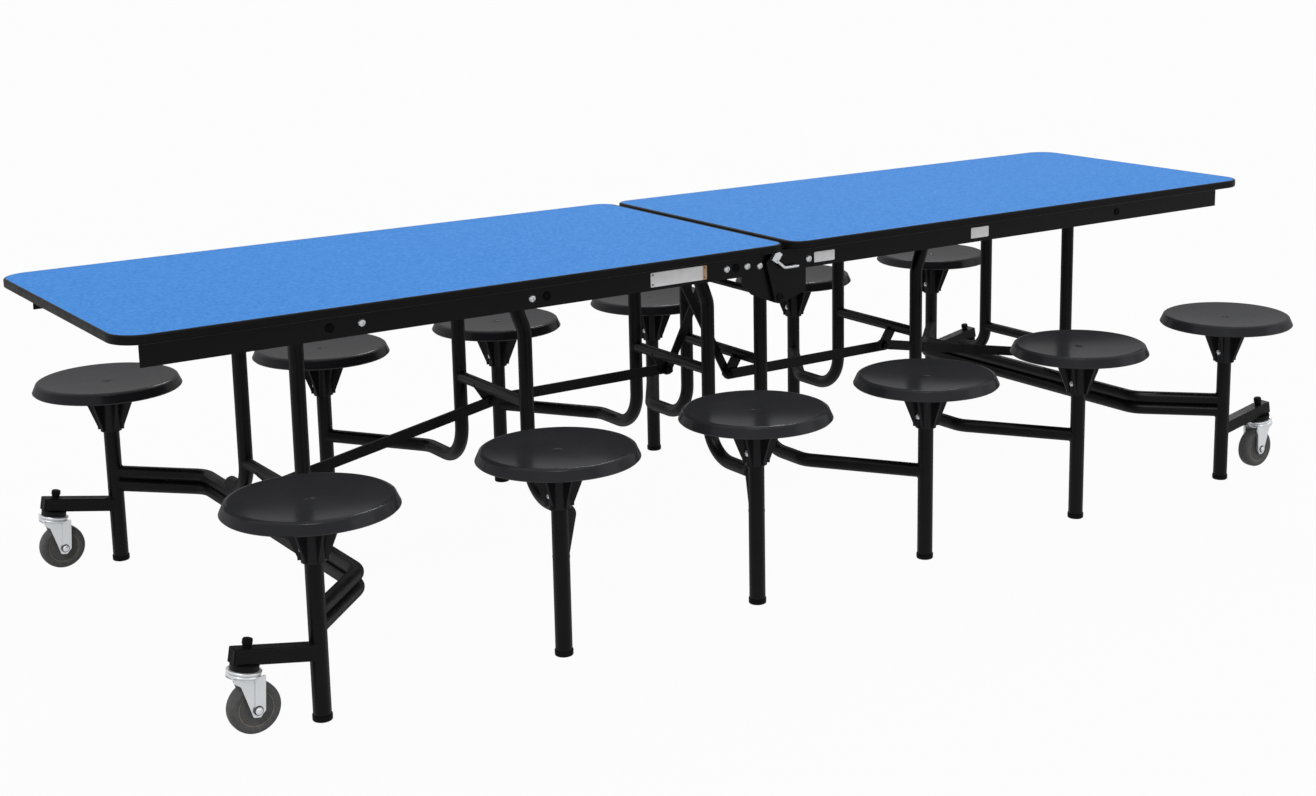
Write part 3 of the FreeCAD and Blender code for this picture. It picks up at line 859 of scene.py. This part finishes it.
class TABLE_OT_pivot_caps(bpy.types.Operator):
    """Close the ends of the frame pivots and of the hinge bar"""

    bl_idname = "stool_table.pivot_caps"
    bl_label = "Pivot caps"

    def execute(self, context):
        finish = finishes(context.scene)
        sizes = context.scene.table_hardware
        radius, height = sizes.cap_radius, sizes.cap_height
        foot = (radius, CAP_CLEARANCE)
        cap = turned_piece("cap", [foot, *stepped(CAP_STEPS, radius, height)], sides=28)
        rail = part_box("left_rails")[1].y
        for side in SIDES:
            for place, stand in STANDS.items():
                at = []
                for sign in ROWS.values():
                    if (side, place, sign) not in COVERED_PIVOTS:
                        point = (stand["pivot"], sign * rail, PIVOT_HEIGHT)
                        at.append(half_turn(side) @ along((0, sign, 0), point))
                piece = copies(cap, f"{side}_{place}_pivot_caps", at)
                fit_out(piece, finish["cap"], body_of_stand(side, place))
        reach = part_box("hinge_bar")[1].y
        level = middle_of("hinge_bar").z
        at = [along((0, sign, 0), (0, sign * reach, level)) for sign in ROWS.values()]
        piece = copies(cap, "hinge_bar_caps", at)
        fit_out(piece, finish["cap"], "left_top")
        drop(cap)
        return {"FINISHED"}


class TABLE_OT_rail_plates(bpy.types.Operator):
    """Fix the bare metal plates to the front rails, and rivet the long one"""

    bl_idname = "stool_table.rail_plates"
    bl_label = "Rail plates"

    def execute(self, context):
        finish = finishes(context.scene)
        sizes = context.scene.table_hardware
        thick = sizes.foil_thick
        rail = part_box("left_rails")[0].y
        for name, (body, low, high) in RAIL_PLATES.items():
            piece = box_piece(name, (low[0], rail - thick, low[1]), (high[0], rail, high[1]))
            pick(piece, "EDGE", lambda e: abs(e.verts[0].co.y - e.verts[1].co.y) > thick / 2)
            bpy.ops.mesh.bevel(offset=PLATE_CORNER, segments=4, affect="EDGES")
            pick(piece, "FACE", lambda f: f.normal.y < -FACING)
            bpy.ops.mesh.inset(thickness=PLATE_RIM, depth=-thick * PLATE_DISH_SHARE)
            smooth(piece)
            sheet = "browned_foil" if name == RIVETED_PLATE else "foil"
            fit_out(piece, finish[sheet], body)
        radius = sizes.rivet_radius
        rivet = turned_piece("rivet", stepped(RIVET_STEPS, radius, radius), sides=16)
        body, low, high = RAIL_PLATES[RIVETED_PLATE]
        across, up = RIVET_INSET
        seat = rail - thick * RIVET_SEAT_SHARE
        at = [
            along((0, -1, 0), (x, seat, z))
            for x in (low[0] + across, high[0] - across)
            for z in (low[1] + up, high[1] - up)
        ]
        piece = copies(rivet, f"{RIVETED_PLATE}_rivets", at)
        fit_out(piece, finish["rust"], body)
        drop(rivet)
        return {"FINISHED"}


class TABLE_OT_link_nuts(bpy.types.Operator):
    """Screw the nuts on the studs of the links and stays"""

    bl_idname = "stool_table.link_nuts"
    bl_label = "Link nuts"

    def execute(self, context):
        finish = finishes(context.scene)
        sizes = context.scene.table_hardware
        radius, height = sizes.nut_radius, sizes.nut_height
        profile = stepped(NUT_COLLAR_STEPS, radius) + stepped(NUT_STEPS, radius, height)
        nut = turned_piece("nut", profile, sides=6)
        smooth(nut, angle=20)
        for side in SIDES:
            for place, nuts in LINK_NUTS.items():
                at = [half_turn(side) @ along((0, way, 0), point) for point, way in nuts]
                piece = copies(nut, f"{side}_{place}_nuts", at)
                fit_out(piece, finish["coat"], f"{side}_{place}")
        drop(nut)
        return {"FINISHED"}


class TABLE_OT_welds(bpy.types.Operator):
    """Lay the weld beads round the joints of the tubes"""

    bl_idname = "stool_table.welds"
    bl_label = "Weld beads"

    def bead(self, size, point, main, branch, hull, tube, square=False):
        """Bead where a branch tube runs into a main tube, bent to the main tube's wall"""
        leave_edit_mode()
        bpy.ops.mesh.primitive_torus_add(
            major_radius=tube,
            minor_radius=size,
            major_segments=40,
            minor_segments=8,
            location=(0, 0, 0),
        )
        ring = named("bead")
        for vertex in ring.data.vertices:
            if square:
                flat = Vector((vertex.co.x, vertex.co.y))
                angle = math.atan2(flat.y, flat.x)
                grow = 1 / max(abs(math.cos(angle)), abs(math.sin(angle)))
                flat += flat.normalized() * (min(grow, SQUARE_CORNER) * tube - tube)
                vertex.co.x, vertex.co.y = flat
            across = min(abs(vertex.co.y), hull * WALL_REACH)
            vertex.co.z += math.sqrt(hull * hull - across * across)
        ahead = Vector(branch).normalized()
        up = Vector(main).normalized()
        turn = Matrix((up, ahead.cross(up), ahead)).transposed().to_4x4()
        ring.data.transform(Matrix.Translation(Vector(point)) @ turn)
        return ring

    def post_beads(self, size, place, post, sign):
        """Beads on a stool post: two bars and a caster arm at the ends, or else one stool arm"""
        up = (0, 0, 1)
        if place != "end":
            arm = (STOOL_ARM.x, -sign * STOOL_ARM.y, 0)
            at = post + Vector((0, 0, ARM_HEIGHT))
            return [self.bead(size, at, up, arm, POST_RADIUS, LEG_RADIUS)]
        rings = []
        for height in BAR_HEIGHTS:
            at = post + Vector((0, 0, height))
            rings.append(self.bead(size, at, up, (1, -sign, 0), POST_RADIUS, BAR_RADIUS))
        slope = (-math.cos(CASTER_TILT), 0, math.sin(CASTER_TILT))
        rise = (post.x - CASTER_ROOT.x) * math.tan(CASTER_TILT)
        at = post + Vector((0, 0, CASTER_ROOT.z - rise))
        rings.append(self.bead(size, at, up, slope, POST_RADIUS, ARM_HALF, square=True))
        return rings

    def execute(self, context):
        finish = finishes(context.scene)
        size = context.scene.table_hardware.bead
        for place, stand in STANDS.items():
            rings = []
            lean = (stand["leg"] - stand["pivot"], 0, -LEG_BEND_DROP)
            for sign in ROWS.values():
                leg = (stand["leg"], sign * LEG_SPREAD, stand["brace"])
                top = (stand["pivot"], sign * LEG_SPREAD, PIVOT_HEIGHT)
                post = Vector((stand["post"], sign * POST_SPREAD, 0))
                brace = (0, -sign, 0)
                rings.append(self.bead(size, leg, (0, 0, 1), brace, LEG_RADIUS, BRACE_RADIUS))
                rings.append(self.bead(size, top, (0, 1, 0), lean, PIVOT_RADIUS, LEG_RADIUS))
                rings += self.post_beads(size, place, post, sign)
            beads = joined(rings, "beads")
            smooth(beads, angle=60)
            for side in SIDES:
                piece = copies(beads, f"{side}_{place}_welds", [half_turn(side)])
                fit_out(piece, finish["weld"], body_of_stand(side, place))
            drop(beads)
        return {"FINISHED"}


class TABLE_OT_stem_caps(bpy.types.Operator):
    """Cap the caster stems and plug the ends of the caster arms"""

    bl_idname = "stool_table.stem_caps"
    bl_label = "Stem caps and arm plugs"

    def plug(self):
        """Rounded plug in the end of a caster arm, with a shallow dish in its face"""
        breadth, half = ARM_HALF_BREADTH - PLUG_MARGIN, ARM_HALF - PLUG_MARGIN
        plug = box_piece(
            "plug",
            (-ARM_TAIL - PLUG_STAND_OUT, -breadth, -half),
            (-ARM_TAIL + PLUG_DEPTH, breadth, half),
        )
        bpy.ops.mesh.select_all(action="SELECT")
        bpy.ops.mesh.bevel(offset=PLUG_ROUND, segments=3, affect="EDGES")
        pick(plug, "FACE", lambda f: f.normal.x < -FACING)
        bpy.ops.mesh.inset(thickness=PLUG_RIM, depth=-PLUG_DISH)
        smooth(plug)
        return plug

    def execute(self, context):
        finish = finishes(context.scene)
        sizes = context.scene.table_hardware
        radius, height = sizes.stem_radius, sizes.stem_height
        foot = (radius * STEM_NECK, ARM_HALF - FOOT_SINK)
        profile = [foot, *stepped(STEM_STEPS, radius, height, ARM_HALF)]
        cap = turned_piece("cap", profile, sides=32)
        plug = self.plug()
        lean = Matrix.Rotation(CASTER_TILT, 4, "Y")
        for side in SIDES:
            body = body_of_stand(side, "end")
            at = []
            for sign in ROWS.values():
                root = Vector((CASTER_ROOT.x, sign * CASTER_ROOT.y, CASTER_ROOT.z))
                at.append(half_turn(side) @ Matrix.Translation(root) @ lean)
            fit_out(copies(cap, f"{side}_stem_caps", at), finish["cap"], body)
            fit_out(copies(plug, f"{side}_arm_plugs", at), finish["cap"], body)
        drop(cap)
        drop(plug)
        return {"FINISHED"}


class TABLE_OT_wheels(bpy.types.Operator):
    """Build the caster wheels with tread, disc and hub"""

    bl_idname = "stool_table.wheels"
    bl_label = "Caster wheels"

    def execute(self, context):
        finish = finishes(context.scene)
        tyre = turned_piece("tyre", mirrored(TYRE_HALF), sides=72)
        tyre.data.materials.append(finish["tyre"])
        core = turned_piece("core", mirrored(CORE_HALF), sides=56)
        core.data.materials.append(finish["core"])
        core.data.materials.append(finish["lip"])
        for face in core.data.polygons:
            reach = face.center.xy.length
            if LIP_INNER < reach < LIP_OUTER and abs(face.center.z) > LIP_RISE:
                face.material_index = 1
        wheel = joined([tyre, core], "wheel")
        upright = Matrix.Rotation(math.pi / 2, 4, "X")
        for side in SIDES:
            for row in ROWS:
                node = f"{side}_{row}_caster_wheel"
                at = Matrix.Translation(middle_of(node)) @ upright
                piece = copies(wheel, f"{node}_tyre", [at])
                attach(piece, node)
                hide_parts(node)
        drop(wheel)
        return {"FINISHED"}


class TABLE_OT_axle_shadow_washers(bpy.types.Operator):
    """Put dark rings on the axle heads of the casters as painted shadow round them, and the domes
    on top
    """

    bl_idname = "stool_table.axle_washers"
    bl_label = "Axle washers"

    def execute(self, context):
        finish = finishes(context.scene)
        radius = context.scene.table_hardware.shadow_washer_radius
        washer = turned_piece("washer", stepped(SHADOW_WASHER_STEPS, radius), sides=40)
        dome = turned_piece("dome", DOME_PROFILE, sides=28)
        for side in SIDES:
            for row in ROWS:
                fork = f"{side}_{row}_caster_fork"
                axle = middle_of(f"{side}_{row}_caster_wheel")
                at = []
                for sign in ROWS.values():
                    at.append(along((0, sign, 0), axle + Vector((0, sign * AXLE_HEAD_FOOT, 0))))
                # Dark rings that paint the shadow round each axle head, with zinc domes on them
                fit_out(copies(washer, f"{fork}_washers", at), finish["washer"], fork)
                fit_out(copies(dome, f"{fork}_domes", at), finish["zinc"], fork)
        drop(washer)
        drop(dome)
        return {"FINISHED"}


class TABLE_OT_stage(bpy.types.Operator):
    """Set up the floor, the sky, the lamps and the camera"""

    bl_idname = "stool_table.stage"
    bl_label = "Stage"

    def seen(self, tree):
        """Socket that is 1 for rays that show the background: camera, glossy and transmission"""
        path = tree.nodes.new("ShaderNodeLightPath")
        level = path.outputs["Is Camera Ray"]
        for ray in ("Is Glossy Ray", "Is Transmission Ray"):
            most = tree.nodes.new("ShaderNodeMath")
            most.operation = "MAXIMUM"
            tree.links.new(level, most.inputs[0])
            tree.links.new(path.outputs[ray], most.inputs[1])
            level = most.outputs[0]
        return level

    def floor(self, stage):
        """Floor that looks nearly white and keeps the table's shadow"""
        leave_edit_mode()
        place = (0, 0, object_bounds()[0].z - FLOOR_DROP)
        bpy.ops.mesh.primitive_plane_add(size=stage.floor_size, location=place)
        floor = named("floor")
        bpy.ops.object.transform_apply(location=True, rotation=True, scale=True)
        pale = bpy.data.materials.new("pale_floor")
        pale.use_nodes = True
        tree = pale.node_tree
        shader = tree.nodes["Principled BSDF"]
        shader.inputs["Base Color"].default_value = FLOOR_GREY
        shader.inputs["Roughness"].default_value = FLOOR_ROUGHNESS
        shader.inputs["Specular IOR Level"].default_value = 0.0
        glow = tree.nodes.new("ShaderNodeEmission")
        share = tree.nodes.new("ShaderNodeMath")
        share.operation = "MULTIPLY"
        share.inputs[1].default_value = stage.floor_white
        blend = tree.nodes.new("ShaderNodeMixShader")
        tree.links.new(self.seen(tree), share.inputs[0])
        tree.links.new(share.outputs[0], blend.inputs["Fac"])
        tree.links.new(shader.outputs[0], blend.inputs[1])
        tree.links.new(glow.outputs[0], blend.inputs[2])
        tree.links.new(blend.outputs[0], tree.nodes["Material Output"].inputs["Surface"])
        floor.data.materials.append(pale)
        floor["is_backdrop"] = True

    def sky(self, scene, stage):
        """World that looks white and lights the table at the sky's own level"""
        world = bpy.data.worlds.new("pale_studio")
        world.use_nodes = True
        tree = world.node_tree
        sky = tree.nodes["Background"]
        sky.inputs["Color"].default_value = (1, 1, 1, 1)
        level = tree.nodes.new("ShaderNodeMapRange")
        level.inputs["To Min"].default_value = stage.sky
        level.inputs["To Max"].default_value = 1.0
        tree.links.new(self.seen(tree), level.inputs["Value"])
        tree.links.new(level.outputs["Result"], sky.inputs["Strength"])
        scene.world = world

    def lamp(self, scene, name, strength, breadth, place):
        """Even light that falls from a place towards the middle of the table"""
        data = bpy.data.lights.new(name, "SUN")
        data.energy = strength
        data.angle = math.radians(breadth)
        lamp = bpy.data.objects.new(name, data)
        scene.collection.objects.link(lamp)
        lamp.location = place
        lamp.rotation_euler = (-Vector(place)).to_track_quat("-Z", "Y").to_euler()

    def camera(self, scene, stage):
        """Camera at the photograph's viewing angle"""
        data = bpy.data.cameras.new("photo_camera")
        data.lens = stage.lens
        data.sensor_fit = "HORIZONTAL"
        data.sensor_width = SENSOR_WIDTH
        data.shift_x = stage.shift_x
        data.shift_y = stage.shift_y
        data.clip_start, data.clip_end = CLIP_START, CLIP_END
        camera = bpy.data.objects.new("photo_camera", data)
        scene.collection.objects.link(camera)
        turn = Matrix.Rotation(stage.azimuth, 4, "Z")
        turn = turn @ Matrix.Rotation(math.pi / 2 - stage.elevation, 4, "X")
        turn = turn @ Matrix.Rotation(stage.roll, 4, "Z")
        camera.matrix_world = Matrix.Translation(Vector(stage.camera_place)) @ turn
        scene.camera = camera

    def execute(self, context):
        scene = context.scene
        stage = scene.table_stage
        self.floor(stage)
        self.sky(scene, stage)
        for name, (breadth, place) in LAMPS.items():
            self.lamp(scene, f"{name}_lamp", getattr(stage, name), breadth, place)
        self.camera(scene, stage)
        scene.view_settings.view_transform = "Standard"
        return {"FINISHED"}


PIECES = (
    TABLE_OT_tops,
    TABLE_OT_frames,
    TABLE_OT_seats,
    TABLE_OT_seat_screws,
    TABLE_OT_rail_bolts,
    TABLE_OT_pivot_caps,
    TABLE_OT_rail_plates,
    TABLE_OT_link_nuts,
    TABLE_OT_welds,
    TABLE_OT_stem_caps,
    TABLE_OT_wheels,
    TABLE_OT_axle_shadow_washers,
    TABLE_OT_stage,
)


class TABLE_PT_panel(bpy.types.Panel):
    """Sidebar panel of the stool table"""

    bl_idname = "TABLE_PT_panel"
    bl_label = "Stool table"
    bl_space_type = "VIEW_3D"
    bl_region_type = "UI"
    bl_category = "Stool table"

    def draw(self, context):
        scene = context.scene
        for operator in PIECES:
            self.layout.operator(operator.bl_idname)
        for group in (scene.table_colours, scene.table_hardware, scene.table_stage):
            box = self.layout.box()
            for name in group.__annotations__:
                box.prop(group, name)


CLASSES = (TableColours, TableHardware, TableStage, *PIECES, TABLE_PT_panel)


def register():
    for item in CLASSES:
        bpy.utils.register_class(item)
    bpy.types.Scene.table_colours = PointerProperty(type=TableColours)
    bpy.types.Scene.table_hardware = PointerProperty(type=TableHardware)
    bpy.types.Scene.table_stage = PointerProperty(type=TableStage)


def unregister():
    del bpy.types.Scene.table_stage
    del bpy.types.Scene.table_hardware
    del bpy.types.Scene.table_colours
    for item in reversed(CLASSES):
        bpy.utils.unregister_class(item)


def main():
    register()
    bpy.ops.stool_table.tops()
    bpy.ops.stool_table.frames()
    bpy.ops.stool_table.seats()
    bpy.ops.stool_table.seat_screws()
    bpy.ops.stool_table.rail_bolts()
    bpy.ops.stool_table.pivot_caps()
    bpy.ops.stool_table.rail_plates()
    bpy.ops.stool_table.link_nuts()
    bpy.ops.stool_table.welds()
    bpy.ops.stool_table.stem_caps()
    bpy.ops.stool_table.wheels()
    bpy.ops.stool_table.axle_washers()
    bpy.ops.stool_table.stage()
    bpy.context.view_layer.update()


if __name__ == "__main__":
    main()
